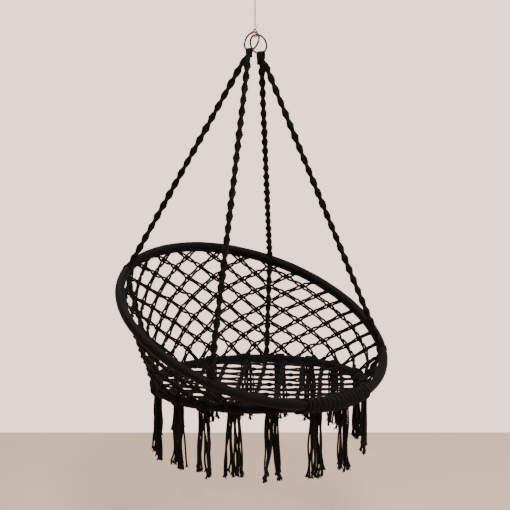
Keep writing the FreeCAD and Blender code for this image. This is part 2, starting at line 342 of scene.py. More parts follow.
def two_tone(material, factor, dark, light):
    """Colour that runs from dark to light as factor runs from 0 to 1."""
    mix = add_node(material, "ShaderNodeMix", {0: factor, 6: colour(dark), 7: colour(light)},
                   data_type="RGBA")
    return mix.outputs[2]


def link(material, output, shader, socket):
    """Joins a node's output to one of the shader's sockets."""
    material.node_tree.links.new(output, shader.inputs[socket])


def sums(material, operation, *values, clamp=False):
    """Output of a Math node; each value is a number or another node's output."""
    return add_node(material, "ShaderNodeMath", dict(enumerate(values)), operation=operation,
                    use_clamp=clamp).outputs[0]


def cloudy(material, place, size, detail, roughness=0.5):
    """Noise from 0 to 1 whose patches are about `size` across."""
    return add_node(material, "ShaderNodeTexNoise",
                    {"Vector": place, "Scale": 1 / size, "Detail": detail,
                     "Roughness": roughness}).outputs["Fac"]


def raise_bumps(material, shader, height, depth, strength):
    """Bumps of a depth in metres where height runs from 0 to 1."""
    bump = add_node(material, "ShaderNodeBump",
                    {"Strength": strength, "Distance": depth, "Height": height})
    link(material, bump.outputs["Normal"], shader, "Normal")


def cotton_gloss(shader, roughness, sheen, sheen_roughness):
    """Cotton reflects little, so its highlight is weak; sheen is its fuzz of fine hairs."""
    shader.inputs["Roughness"].default_value = roughness
    shader.inputs["Specular IOR Level"].default_value = 0.12
    shader.inputs["Sheen Weight"].default_value = sheen
    shader.inputs["Sheen Roughness"].default_value = sheen_roughness


# %% [markdown]
# ### Twisted cotton cord
#
# Macrame cord is cotton yarn laid up in a loose twist. To the eye it is matt, with soft ridges
# that wind round the cord, a slightly paler fuzz where light grazes it, and darker valleys
# between the yarns. That shade in the valleys and that highlight on the ridges and fuzz are painted
# into the colour here: it follows the height of the bumps, dark in the valleys and lighter on top,
# with large patches of the cord's own uneven tone. The ridges are a sine of U + V / pitch, so they
# wind once round the cord in one pitch. The yarns of a 4 mm cord are about 1 mm apart, which is
# too fine to show at the size of the whole chair, so three ridges stand for them.

# %% Cotton material
def cotton(name, dark, light, ply=3, pitch=14 * MM, ridge=0.5 * MM, sheen=0.03):
    """Twisted cotton yarn: matt, ridged round the cord, with a fuzz that catches light.

    height = sin(2 pi ply (U + V / pitch)) / 2 + fuzz; tone = (0.55 height + patches) cubed.
    """
    material, shader, place, uv = new_material(name)
    split = add_node(material, "ShaderNodeSeparateXYZ", {0: uv})
    turns = sums(material, "MULTIPLY", split.outputs[0], float(ply))
    wound = sums(material, "MULTIPLY_ADD", split.outputs[1], ply / pitch, turns)
    wave = sums(material, "SINE", sums(material, "MULTIPLY", wound, 2 * math.pi))
    fuzz = cloudy(material, place, 1.5 * MM, 3.0, 0.6)
    patches = cloudy(material, place, 25 * MM, 2.0)
    height = sums(material, "MULTIPLY_ADD", wave, 0.5, fuzz)
    tone = sums(material, "MULTIPLY_ADD", height, 0.55, patches, clamp=True)
    painted_shade_and_patches = sums(material, "POWER", tone, 3.0, clamp=True)
    # Painted shade and highlight: the colour is dark in the valleys and lighter on the ridge tops and fuzz,
    # with the cord's own uneven tone in the patches.
    link(material, two_tone(material, painted_shade_and_patches, dark, light), shader, "Base Color")
    raise_bumps(material, shader, height, ridge, 0.8)
    cotton_gloss(shader, 0.7, sheen, 0.45)
    return material


rope_cotton = cotton("twisted_cotton_rope", "#020202", "#171312")
net_cotton = cotton("twisted_cotton_net", "#020202", "#151211")
tassel_cotton = cotton("combed_cotton_tassel", "#020202", "#120e0d")
wrap_cotton = cotton("hitched_cotton_wrap", "#020202", "#181616", pitch=10 * MM)
line_cotton = cotton("natural_cotton_line", "#6a5026", "#b08d4e", pitch=9 * MM, sheen=0.1)
print("cotton materials ready")

# %% [markdown]
# ### Woven sleeve cloth
#
# The big hoop is sewn into a sleeve of black plain-weave cotton. Plain weave passes each thread
# over one and under one, so its surface is a chequer of small bumps. The product of a sine along
# the hoop and a sine round it has that pattern. The colour follows it as well, darker in the
# hollows between the threads and lighter on their tops: painted shade. Threads are about 0.8 mm
# apart; they are drawn 2 mm apart so that they show.

# %% Sleeve material
def plain_weave(name, dark, light, thread=2 * MM):
    """Plain-weave cotton cloth: soft matt with a chequer of thread bumps and a faint sheen.

    height = 0.35 sin(pi U / thread) sin(pi V / thread) + slubs;
    tone = (0.5 height + worn patches) to the power 1.5.
    """
    material, shader, place, uv = new_material(name)
    split = add_node(material, "ShaderNodeSeparateXYZ", {0: uv})
    waves = [sums(material, "SINE", sums(material, "MULTIPLY", output, math.pi / thread))
             for output in split.outputs[:2]]
    weave = sums(material, "MULTIPLY", *waves)
    slubs = cloudy(material, place, 4 * MM, 4.0, 0.65)
    worn = cloudy(material, place, 60 * MM, 3.0)
    height = sums(material, "MULTIPLY_ADD", weave, 0.35, slubs)
    tone = sums(material, "MULTIPLY_ADD", height, 0.5, worn, clamp=True)
    painted_shade_and_patches = sums(material, "POWER", tone, 1.5, clamp=True)
    # Painted shade: the colour is darker in the hollows of the weave and lighter on the thread tops, with
    # the cloth's own slubs and worn patches.
    link(material, two_tone(material, painted_shade_and_patches, dark, light), shader, "Base Color")
    raise_bumps(material, shader, height, 0.4 * MM, 0.5)
    cotton_gloss(shader, 0.65, 0.03, 0.4)
    return material


sleeve_cloth = plain_weave("plain_weave_sleeve", "#020202", "#0b0a0a")
print("sleeve cloth ready")

# %% [markdown]
# ### Nickel-plated wire and painted tube
#
# The rings are bent steel wire with a nickel plate: a metal, warm grey, smooth with a little
# uneven polish. They hang among black ropes and mirror them; their base grey is made darker than
# nickel's own, a painted reflection of those black ropes. The hoops' tubes are painted black steel
# inside their coverings, with the orange-peel skin of powder paint.

# %% Metal materials
def nickel_plate(name):
    """Nickel plate on drawn wire: mirror-like, slightly warm, roughness that varies with wear."""
    material, shader, place, _ = new_material(name)
    wear = cloudy(material, place, 6 * MM, 4.0)
    rough = add_node(material, "ShaderNodeMapRange",
                     {"Value": wear, "To Min": 0.1, "To Max": 0.32})
    # Painted reflection: the base grey is darker than bare nickel, standing in for the black ropes that the
    # rings mirror.
    link(material, two_tone(material, wear, "#3b3735", "#716a66"), shader, "Base Color")
    link(material, rough.outputs[0], shader, "Roughness")
    raise_bumps(material, shader, wear, 0.05 * MM, 0.15)
    shader.inputs["Metallic"].default_value = 1.0
    return material


def powder_paint(name):
    """Black powder-painted steel: satin, with the fine dimples of melted powder."""
    material, shader, place, _ = new_material(name)
    dimples = cloudy(material, place, 0.8 * MM, 2.0)
    link(material, two_tone(material, dimples, "#141414", "#1d1d1e"), shader, "Base Color")
    raise_bumps(material, shader, dimples, 0.05 * MM, 0.2)
    shader.inputs["Roughness"].default_value = 0.45
    return material


# %% [markdown]
# The rings and the tubes are exact in the model already, so they keep their shape and only get
# their finish.

# %% Painting the rings and tubes
def paint_node(node, material):
    """Gives a node of the model its finish."""
    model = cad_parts[node]
    model.data.materials.clear()
    model.data.materials.append(material)


nickel = nickel_plate("nickel_plated_wire")
black_paint = powder_paint("powder_painted_steel")
for node in ("ring_left", "ring_right"):
    paint_node(node, nickel)
for node in ("upper_hoop_tube", "lower_hoop_tube"):
    paint_node(node, black_paint)
print("rings and tubes painted")

# %% [markdown]
# ## The line
#
# The chair hangs on a thin line of natural cotton, laid from three strands. Each strand is a tube
# that winds round the line's middle. The line is taut, so its route is straight. Its two ends are
# tied into eyes: the upper one for a hook, the lower one through both steel rings.

# %% Laid line
LINE_DIAMETER = 3.2 * MM
LINE_LAY = 9 * MM
STRAND_SHARE = 0.27
SIDEWAYS = np.array([1.0, 0, 0])


def laid_strands(route, across, size, lay, strands=3):
    """Strands wound round a route: each is the route plus an offset that turns once per lay.

    The strands of a line of diameter `size` have the radius s = 0.27 size, and the offset is
    size / 2 - s, so that they touch.
    """
    run = np.concatenate([[0], np.cumsum(np.linalg.norm(np.diff(route, axis=0), axis=1))])
    along = unit(np.gradient(route, axis=0))
    u = unit(across - dot(across, along) * along)
    w = np.cross(along, u)
    strand = STRAND_SHARE * size
    phase = 2 * np.pi * (run / lay + np.arange(strands)[:, None] / strands)
    offset = np.cos(phase)[..., None] * u + np.sin(phase)[..., None] * w
    return cord_tubes(route + offset * (size / 2 - strand), offset, strand)


line_low, line_high = (np.array(corner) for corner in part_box("hanging_line"))
line_exit = np.array([0, 0, line_low[2]])
line_end = np.array([0, 0, line_high[2]])
line_route = read_route([line_exit, line_exit * 0.6 + line_end * 0.4, line_end], 1 * MM)
line = make_piece("laid_line", [laid_strands(line_route, SIDEWAYS, LINE_DIAMETER, LINE_LAY)],
                  line_cotton, "line", ["hanging_line"])

# %% [markdown]
# An eye is a teardrop of the same line closed by an overhand knot. The teardrop is a circle that
# narrows towards the knot, and its round half leaves the rings room to rock. The knot is a
# trefoil, which is the path that an overhand knot takes:
# (sin t + 2 sin 2t, cos t - 2 cos 2t, -1.3 sin 3t), pulled small, with a short cut end.

# %% Eyes and knots
HOOK_EYE_RADIUS = 9 * MM
RING_EYE_RADIUS = 9.5 * MM
KNOT_SIZE = 2.3 * MM
KNOT_CORD = 1.3 * MM
END_CORD = 1.2 * MM
KNOT_ROOM = 4 * MM


def eye_path(centre, radius, toward, steps=72):
    """A teardrop in the XZ plane: a circle of which the half nearer the knot is drawn in.

    x = radius sin a (1 - 0.35 max(0, cos a)^2), z = radius cos a, upwards for toward = 1.
    """
    angle = np.linspace(0, 2 * np.pi, steps, endpoint=False)
    narrow = 1 - 0.35 * np.maximum(0, np.cos(angle)) ** 2
    x, z = radius * np.sin(angle) * narrow, radius * np.cos(angle) * toward
    return centre + np.stack([x, 0 * x, z], -1)


def overhand_path(centre, size, steps=60):
    """The closed trefoil path of an overhand knot, three lobes round the line."""
    angle = np.linspace(0, 2 * np.pi, steps, endpoint=False)
    lobe = np.stack([np.sin(angle) + 2 * np.sin(2 * angle), np.cos(angle) - 2 * np.cos(2 * angle),
                     -1.3 * np.sin(3 * angle)], -1)
    return centre + lobe * size / 3


def tied_eye(node, radius, toward):
    """Parts of an eye, its knot and the knot's cut end, inside the box of the node.

    The knot lies above the eye for toward = 1 and below it for toward = -1.
    """
    low, high = (corner[2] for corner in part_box(node))
    far, near = (low, high) if toward == 1 else (high, low)
    eye_centre = np.array([0, 0, far + toward * (LINE_DIAMETER / 2 + radius)])
    knot_centre = np.array([0, 0, near - toward * KNOT_ROOM])
    front = np.array([0, 1.0, 0])
    loop = eye_path(eye_centre, radius, toward)[None]
    knot = overhand_path(knot_centre, KNOT_SIZE)[None]
    end = knot_centre + np.array([[0, 0, 0], [3, -1, 2], [5, -2, 5], [6, -2, 10]]) * MM
    return [cord_tubes(loop, front, LINE_DIAMETER / 2, 8, closed=True),
            cord_tubes(knot, np.array([0, 0, 1.0]), KNOT_CORD, closed=True),
            cord_tubes(soft_paths(end[None], 12), front, END_CORD)]


top_eye = make_piece("line_top_eye", tied_eye("line_top_loop", HOOK_EYE_RADIUS, -1),
                     line_cotton, "hook_loop", ["line_top_loop"])
ring_eye = make_piece("line_ring_eye", tied_eye("line_knot", RING_EYE_RADIUS, 1),
                      line_cotton, "knot", ["line_knot"])

# %% [markdown]
# ## The four ropes
#
# Each rope is a half-knot spiral: the same half of a square knot is tied again and again, so that
# the flat braid slowly turns about itself. From afar this reads as a row of long beads, wide
# where the braid faces you and thin where it is edge on. A strand is then simple to state. It
# has its place on a flat ellipse, along which it drifts once per pitch, and the ellipse turns
# half a turn per bead. A rope laid from three strands would be simpler still, but it is round and
# has no beads. The route is straight, because the rope carries the chair.

# %% Half-knot spirals
ROPE_LEAN = math.radians(19.5)
RING_RADIUS = 26.5 * MM
COLLAR_LENGTH = 22 * MM
ROUTE_STEP = 2.2 * MM
STRANDS = 6
CORE_PLACES = np.array([-0.5, 0, 0.5])
DRAWN_IN, OPENING = 0.45, 22 * MM
BACK_LEFT_AT, BACK_RIGHT_AT, FRONT_AT = -141.0, 135.0, 54.7    # degrees round the big hoop
BIG = {"half": 7.4 * MM, "thin": 3.2 * MM, "cord": 2.8 * MM, "pitch": 190 * MM}
SMALL = {"half": 6.8 * MM, "thin": 3.1 * MM, "cord": 2.8 * MM, "pitch": 150 * MM}


def straight_route(start, end):
    """A taut rope's route: a NURBS curve whose four control points lie on one straight line."""
    return read_route([start, start * 0.7 + end * 0.3, start * 0.3 + end * 0.7, end], ROUTE_STEP)


def spiral_braid(route, across, kind, bead_first, bead_last, phase, weight=None):
    """Strands round a turning flat ellipse, and the three core cords that they hide.

    A strand's place is half cos p e1 + thin sin p e2, with p = 2 pi (run / pitch + its share).
    e1 and e2 are turned by pi x the number of beads so far; a bead's length runs evenly from
    the first to the last. Each strand also swells out a little at its own places, and starts
    drawn in to 0.45 of its place, from where it opens over the first 22 mm. The core cords lie
    in the ellipse's long axis, at its middle and halfway out.
    """
    step = np.linalg.norm(np.diff(route, axis=0), axis=1)
    run = np.concatenate([[0], np.cumsum(step)])
    along = unit(np.gradient(route, axis=0))
    u = unit(across - dot(across, along) * along)
    w = np.cross(along, u)
    share = run / run[-1]
    bead = bead_first + (bead_last - bead_first) * share[1:]
    beads = np.concatenate([[0], np.cumsum(step / bead)])
    own = np.arange(STRANDS)[:, None]
    unevenness = (1 + 0.07 * np.sin(run / (31 * MM) + phase)
                  + 0.05 * np.sin(run / (6.5 * MM) + own * 2.4))
    unevenness = unevenness * (DRAWN_IN + (1 - DRAWN_IN) * np.clip(run / OPENING, 0, 1))
    turn = (np.pi * (beads + phase))[:, None]
    e1 = np.cos(turn) * u + np.sin(turn) * w
    e2 = np.cross(along, e1)
    p = 2 * np.pi * (run / kind["pitch"] + own / STRANDS)
    place = ((kind["half"] * unevenness * np.cos(p))[..., None] * e1
             + (kind["thin"] * unevenness * np.sin(p))[..., None] * e2)
    core = CORE_PLACES[:, None, None] * (unevenness[0] * kind["half"])[:, None] * e1
    return [cord_tubes(route + place, place, kind["cord"], weight=weight),
            cord_tubes(route + core, u, kind["cord"], weight=weight)]


# %% [markdown]
# A rope begins where its collar lets it go, and ends on the big hoop's sleeve. Both places come
# from the model: the lowest point of the ring, and the point of the hoop at the rope's angle. The
# rope's far end is on the object itself, and its length is read from its route.

# %% Rope ends
def ring_low(node, side):
    """Lowest point of a ring's wire: its middle plus its radius along the way it leans."""
    low, high = (np.array(corner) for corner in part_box(node))
    down = np.array([side * math.sin(ROPE_LEAN), 0, -math.cos(ROPE_LEAN)])
    return (low + high) / 2 + RING_RADIUS * down


def rope_ends(low, angle):
    """Where a rope leaves its collar, and where it meets the big hoop's sleeve."""
    target = around(big_hoop, math.radians(angle))[0]
    along = unit(target - low)
    start = low + along * (COLLAR_LENGTH / abs(along[2]))
    return start, target - along * big_hoop["tube"]


LEFT_LOW = ring_low("ring_left", -1)
RIGHT_LOW = ring_low("ring_right", 1)
ROPES = [("back_left", LEFT_LOW, BACK_LEFT_AT, 36 * MM, 35 * MM, 0.1),
         ("front_left", LEFT_LOW, -FRONT_AT, 34 * MM, 31 * MM, 0.6),
         ("back_right", RIGHT_LOW, BACK_RIGHT_AT, 35 * MM, 24 * MM, 0.3),
         ("front_right", RIGHT_LOW, FRONT_AT, 35 * MM, 33 * MM, 0.8)]

# %% [markdown]
# In the table each rope has the ring it hangs from, its angle round the big hoop, the length of
# its first and its last bead, and the place in the turn where it starts. The beads grow a little
# shorter towards the hoop.

# %% Ropes
for name, low, angle, bead_first, bead_last, phase in ROPES:
    start, end = rope_ends(low, angle)
    route = straight_route(start, end)
    braid = spiral_braid(route, SIDEWAYS, BIG, bead_first, bead_last, phase)
    rope = make_piece("spiral_rope_" + name, braid, rope_cotton, "frame",
                      ["rope_" + name])
    print(name, "rope length", round(length_of(route), 3), "m")

# %% [markdown]
# ## Collars on the rings
#
# The four ropes are really the ends of cords that are looped over the steel rings. At each ring
# the cords pass over the wire, are bound together by a few tight turns, and part into the front
# and the back rope. Seven cords a ring show this. Each is a smooth path led by nine points: up out
# of one rope, through the neck, over the wire and down the other side. Thick core cords fill the
# two legs, so that no daylight shows between them.

# %% Collars
COLLAR_CORDS = 7
COLLAR_CORD = 2.3 * MM
WIRE_RADIUS = 2.5 * MM
BINDING_CORD, BINDING_RISE = 1.8 * MM, 3.2 * MM
NECK_GAP = 5 * MM
INTO_ROPE = 10 * MM
LEG_CORE = 6.5 * MM


def wound_turns(centre, axis, wide_way, wide, deep, turns, rise, cord, steps=20):
    """A cord wound round a neck: an ellipse, wide by deep, that climbs `rise` each turn."""
    deep_way = np.cross(axis, wide_way)
    angle = np.linspace(0, 2 * np.pi * turns, int(steps * turns))[:, None]
    climb = (angle / (2 * np.pi) - turns / 2) * rise * axis
    path = centre + np.cos(angle) * wide * wide_way + np.sin(angle) * deep * deep_way + climb
    return cord_tubes(path[None], axis, cord)


def collar_cords(low, back_start, front_start, half, turns):
    """Cords over the wire, spread along it, whose ends fan out into the two ropes.

    The neck is `half` wide each way and as long as the turns that bind it, and starts 5 mm
    below the wire. The cords on each side of the middle lie nearer their own rope.
    """
    neck_drop = NECK_GAP + turns * BINDING_RISE / 2
    ropeway = unit((front_start - back_start) * [1, 1, 0])
    side = np.cross(ropeway, [0, 0, 1.0])
    down = np.array([0, 0, -1.0])
    row = np.linspace(-1, 1, COLLAR_CORDS)[:, None]
    over, on_wire = WIRE_RADIUS + COLLAR_CORD, max(half, 7 * MM)
    neck = low + down * neck_drop + ropeway * row * half
    left = back_start + down * INTO_ROPE + ropeway * row * 5 * MM
    right = front_start + down * INTO_ROPE + ropeway * row * 5 * MM
    shoulder = np.where(row < 0, 0.35, 0.65)
    fan_back = neck * (1 - shoulder) + left * shoulder
    fan_front = neck * shoulder + right * (1 - shoulder)
    control = [left - side * 3.5 * MM, fan_back - side * 3.5 * MM, neck - side * 3 * MM,
               low - side * over * 1.25 + ropeway * row * on_wire,
               low - down * over * 1.5 + ropeway * row * on_wire,
               low + side * over * 1.25 + ropeway * row * on_wire,
               neck + side * 3 * MM, fan_front + side * 3.5 * MM, right + side * 3.5 * MM]
    paths = soft_paths(np.stack(control, 1), 60)
    middle = low + down * neck_drop
    binding = wound_turns(middle, down, ropeway, half + 2.6 * MM, 6.8 * MM, turns, BINDING_RISE,
                          BINDING_CORD)
    legs = [[middle, middle * 0.4 + end * 0.6, end + unit(end - low) * 12 * MM]
            for end in (back_start, front_start)]
    return [cord_tubes(paths, ropeway, COLLAR_CORD), binding,
            cord_tubes(soft_paths(np.array(legs), 14), side, LEG_CORE)]


# %% [markdown]
# The left neck is short and narrow, with four turns. The right one is twice as wide and long.

# %% Both collars
for side, low, back, front, half, turns in (
        ("left", LEFT_LOW, BACK_LEFT_AT, -FRONT_AT, 5.5 * MM, 4),
        ("right", RIGHT_LOW, BACK_RIGHT_AT, FRONT_AT, 11 * MM, 8)):
    cords = collar_cords(low, rope_ends(low, back)[0], rope_ends(low, front)[0], half, turns)
    make_piece("ring_collar_" + side, cords, rope_cotton, "frame",
               ["rope_collar_" + side])

# %% [markdown]
# ## Turns round the big hoop
#
# Where a rope reaches the hoop, its cords spread side by side, lie over the inner face of the
# sleeve and run on below it, and two thin turns of cord tie them down. A closed ring would do for
# a tie, but a tie that slides along the hoop on its way round looks hand-wound.

# %% Hitches
STRAP_CORD, STRAP_GAP = 2.3 * MM, 3.4 * MM
STRAP_END = math.radians(262)
TIE_CORD = 1.1 * MM
BEDDED = 0.8


def hoop_turns(hoop, angle, offsets, slants, cord, steps=40, reach=0.0):
    """Closed turns round a hoop's tube; each slides along the hoop by its slant x sin a.

    point = hoop point + r (cos a outward + sin a upward) + (offset + slant sin a) onward, with
    r = tube + 0.8 cord + reach, so the cord is bedded a little in the covering.
    """
    centre, outward, upward, onward = around(hoop, angle)
    offsets, slants = np.array(offsets)[:, None, None], np.array(slants)[:, None, None]
    a = np.linspace(0, 2 * np.pi, steps, endpoint=False)[None, :, None]
    ring = np.cos(a) * outward + np.sin(a) * upward
    slide = (offsets + slants * np.sin(a)) * onward
    path = centre + ring * (hoop["tube"] + cord * BEDDED + reach) + slide
    return cord_tubes(path, ring, cord, closed=True)


def strap_over(angle, rope_start):
    """Five cords that lie over the hoop's inner face, from the rope's end to below the hoop.

    Each is led by six points round the tube, tube + 0.8 cord from its middle, at angles from
    the rope's own side, over the inward side, to the underside, and by one point up the rope.
    """
    centre, outward, upward, onward = around(big_hoop, math.radians(angle))
    rope_way = unit(rope_start - centre)
    first = math.atan2(float(rope_way @ upward), float(rope_way @ outward))
    row = np.linspace(-2, 2, 5)[:, None]
    control = []
    for step, turn in enumerate(np.linspace(first, STRAP_END, 6)):
        spread = STRAP_GAP * (0.8 + 0.25 * math.sin(step * 1.7))
        out = math.cos(turn) * outward + math.sin(turn) * upward
        control.append(centre + out * (big_hoop["tube"] + STRAP_CORD * BEDDED)
                       + onward * row * spread)
    above = centre + rope_way * (big_hoop["tube"] + 16 * MM) + onward * row * 2.4 * MM
    paths = soft_paths(np.stack([above] + control, 1), 30)
    return cord_tubes(paths, onward, STRAP_CORD)


for name, low, angle, _, _, _ in ROPES:
    tie = hoop_turns(big_hoop, math.radians(angle), [-3.6 * MM, 3.2 * MM], [1.4 * MM, 1.0 * MM],
                     TIE_CORD)
    make_piece("rope_hitch_" + name, [strap_over(angle, low), tie], rope_cotton, "frame",
               ["rope_" + name])

# %% [markdown]
# ## The sleeve
#
# The sleeve is a tube of cloth drawn over the hoop: a torus whose skin is not quite even. Its
# radius is the sleeve's own plus slow swells, faint diagonal creases where the cloth was drawn
# round the bend, and a small ridge along the inside where it is sewn shut. A cloth simulation
# could make the creases too, but this cloth is drawn tight, so a few waves in a formula are
# enough.

# %% Ring-shaped skins
def hoop_skin(hoop, radius_of, along_steps, around_steps):
    """A closed tube round a hoop. radius_of(a, b) gives its radius at hoop angle a, tube angle b.

    point = hoop point + radius (cos b outward + sin b upward); the UV map is metres round the
    tube and metres along the hoop.
    """
    a = np.linspace(0, 2 * np.pi, along_steps, endpoint=False)
    b = np.linspace(0, 2 * np.pi, around_steps, endpoint=False)
    centre, outward, upward, _ = around(hoop, a)
    radius = radius_of(a[:, None], b[None, :])[..., None]
    ring = (np.cos(b)[None, :, None] * outward[:, None]
            + np.sin(b)[None, :, None] * upward[:, None])
    points = centre[:, None] + radius * ring
    ids = np.arange(along_steps * around_steps).reshape(along_steps, around_steps)
    onward, up = np.roll(ids, -1, 0), np.roll(ids, -1, 1)
    quads = np.stack([ids, onward, np.roll(onward, -1, 1), up], -1)
    a_step, b_step = 2 * np.pi / along_steps, 2 * np.pi / around_steps
    a, b = np.meshgrid(a, b, indexing="ij")
    corner = np.stack([np.stack([b, a], -1), np.stack([b, a + a_step], -1),
                       np.stack([b + b_step, a + a_step], -1), np.stack([b + b_step, a], -1)], -2)
    uv = corner * [hoop["tube"], hoop["radius"]]
    return {"points": points.reshape(-1, 3), "corners": quads.ravel(),
            "sizes": np.full(quads.size // 4, 4), "uv": uv.reshape(-1, 2), "weight": None}


def away_from_front(a):
    """0 at the front, where the hoops lie together, rising to 1 by about 35 degrees from it.

    1 - exp(-1.2 (chord / 0.3)^2), with the chord 2 sin(a / 2) of a circle of radius 1.
    """
    return 1 - np.exp(-(2 * np.sin(a / 2) / 0.3) ** 2 * 1.2)


def sleeve_radius_at(a, b):
    """Sleeve radius: slow swells, diagonal creases of 0.22 mm and a seam at b = 200 degrees.

    At the front all of them fade to nothing, so that the seat can fold up beside the sleeve.
    The seam is a ridge 0.7 mm high whose stitches show as 340 small waves.
    """
    swell = 0.25 * np.sin(9 * a + 0.7) + 0.15 * np.sin(23 * a + 2 * b)
    crease = 0.22 * np.maximum(0, np.sin(61 * a + 2 * b + 1.5 * np.sin(5 * a))) ** 4
    seam = 0.7 * np.exp(-((b - math.radians(200)) / 0.09) ** 2) * (1 + 0.3 * np.sin(340 * a))
    return big_hoop["tube"] + (swell + crease + seam) * MM * away_from_front(a)


make_piece("hoop_sleeve", [hoop_skin(big_hoop, sleeve_radius_at, 1080, 36)],
           sleeve_cloth, "frame", ["upper_hoop_sleeve"])

# %% [markdown]
# ## The wound seat hoop
#
# The seat hoop is covered by cord hitched round it turn against turn. There are more than four
# hundred turns, so they are one skin whose radius rises and falls: with f the place across one
# turn from 0 to 1, the height is sqrt(1 - (2f - 1)^2), half a circle, and the turns slant because
# f also moves on by one turn for each trip round the tube. A second, slower wave makes some
# turns stand a little prouder, as hand-wound cord does.

# %% Wound skin
TURN_WIDTH = 4.3 * MM
TURNS = round(2 * math.pi * seat_hoop["radius"] / TURN_WIDTH)
TURN_HEIGHT, TURN_PROUD = 1.9, 0.6         # in mm


def wound_radius_at(a, b):
    """Radius of the wound cord: a half-round ridge for each turn, turns slanted by one width.

    The ridges stand 0.6 mm proud of the hoop's plain radius, more or less from turn to turn,
    except at the front, where the seat folds up beside the sleeve.
    """
    across = (TURNS * a / (2 * np.pi) + b / (2 * np.pi) + 0.15 * np.sin(17 * a)) % 1
    ridge = np.sqrt(np.maximum(0, 1 - (2 * across - 1) ** 2))
    proud = 0.35 * np.sin(31 * a + 1.0) + 0.25 * np.sin(83 * a + b)
    rise = (ridge - 1) * TURN_HEIGHT + (TURN_PROUD + proud) * away_from_front(a)
    return seat_hoop["tube"] + rise * MM


wound_skin = hoop_skin(seat_hoop, wound_radius_at, TURNS * 7, 14)
wound_skin["uv"] = wound_skin["uv"][:, ::-1] / [TURN_WIDTH, 1]
make_piece("seat_hoop_winding", [wound_skin], wrap_cotton, "seat",
           ["lower_hoop_wrap"])
print("turns round the seat hoop", TURNS)

# %% [markdown]
# ## The back net
#
# The net is tied between the two hoops, from one front end round the back to the other. Think of
# a surface of straight lines from each point of the big hoop to the point of the seat hoop at the
# same angle. With v from 0 at the big hoop to 1 at the seat hoop, a point is
# (1 - v) big + v seat. Knots lie on upright columns. Behind the sitter, the columns are evenly
# spaced between the two back ropes and the knots share out each column's height. On the flanks
# the rows stay level, so they run into the big hoop one by one as it comes down to the front. A
# knot that would come within 17 mm of a hoop moves onto it, and every other knot sits a little
# off its place, because hands tied it.

# %% Net lattice
NET_END = math.radians(19)
BACK_RIGHT, BACK_LEFT = math.radians(BACK_RIGHT_AT), math.radians(360 + BACK_LEFT_AT)
FLANK_SPACES, BACK_SPACES = 14, 12
ROW_SHARE, FIRST_SHARE, ODD_SHIFT = 0.175, 0.09, 0.0875
HOOP_ROOM = 17 * MM
KNOT_TURN, KNOT_SHARE, KNOT_DEPTH = math.radians(0.35), 0.006, 1.2 * MM


def net_point(angle, v):
    """Point of the net's surface: straight across from the big hoop to the seat hoop."""
    big, seat = around(big_hoop, angle)[0], around(seat_hoop, angle)[0]
    return big + (seat - big) * np.asarray(v)[..., None]


# %% [markdown]
# The lattice is worked out for all columns and rows at once. `share` is how far down a row lies
# behind the sitter. On a flank that height is taken at the back rope and carried level to the
# column, and v is then the part of the column's own height that lies above it.

# %% Places of the knots
right_flank = np.linspace(NET_END, BACK_RIGHT, FLANK_SPACES + 1)
back = np.linspace(BACK_RIGHT, BACK_LEFT, BACK_SPACES + 1)
left_flank = np.linspace(BACK_LEFT, 2 * np.pi - NET_END, FLANK_SPACES + 1)
columns = np.concatenate([right_flank[:-1], back, left_flank[1:]])
odd = np.arange(len(columns)) % 2
rows = np.arange(-1, 7)
share = FIRST_SHARE + ROW_SHARE * rows[None, :] + ODD_SHIFT * odd[:, None]
big_z = around(big_hoop, columns)[0][:, 2]
seat_z = seat_hoop["centre"][2]
rope_column = np.where(columns < BACK_RIGHT, BACK_RIGHT,
                       np.where(columns > BACK_LEFT, BACK_LEFT, columns))
rope_z = around(big_hoop, rope_column)[0][:, 2]
level = rope_z[:, None] + (seat_z - rope_z[:, None]) * share
drop = (big_z - seat_z)[:, None]
net_v = (big_z[:, None] - level) / drop
net_v = np.where(net_v * drop < HOOP_ROOM, 0, np.where((1 - net_v) * drop < HOOP_ROOM, 1, net_v))
net_angle = np.broadcast_to(columns[:, None], net_v.shape)
inside = (net_v > 0) & (net_v < 1)
net_angle = net_angle + inside * chance.normal(0, KNOT_TURN, net_v.shape)
net_v = net_v + inside * chance.normal(0, KNOT_SHARE, net_v.shape)
print("net columns", len(columns), "knots", int(inside.sum()))

# %% [markdown]
# Neighbouring columns are half a row apart, so each knot joins the two knots above and the two
# below it. A Wireframe modifier on the lattice would give single rods, but this net is of doubled
# cord. The two cords between two knots leave a knot spread apart, like the eye of a needle, and
# close up. In two strands of five they cross over each other in the middle. With t from 0 to 1
# along the strand, half the gap is the cord's radius plus an eye at each end, and a crossing pair
# turns half round between t = 0.3 and 0.7.

# %% Strands
NET_CORD = 3.3 * MM
EYE_SHARE = 0.36
CROSS_FROM, CROSS_SHARE = 0.3, 0.4
CROSSED, HARDLY_TURNED = np.pi, 0.5
EYE_RANGE = (0.2, 2.6)                     # in mm


def lattice_edges(odd_columns, count_rows):
    """Index arrays of the joined knots: (column, row) of one end, then of the other end."""
    column, row = np.meshgrid(np.arange(len(odd_columns) - 1), np.arange(count_rows),
                              indexing="ij")
    step = np.where(odd_columns[:-1][:, None] == 1, 1, -1)
    other = row + step
    level_pair = (column.ravel(), row.ravel(), column.ravel() + 1, row.ravel())
    slant_pair = (column.ravel(), row.ravel(), column.ravel() + 1, other.ravel())
    pairs = np.array([np.concatenate(both) for both in zip(level_pair, slant_pair)])
    return pairs[:, (pairs[3] >= 0) & (pairs[3] < count_rows)]


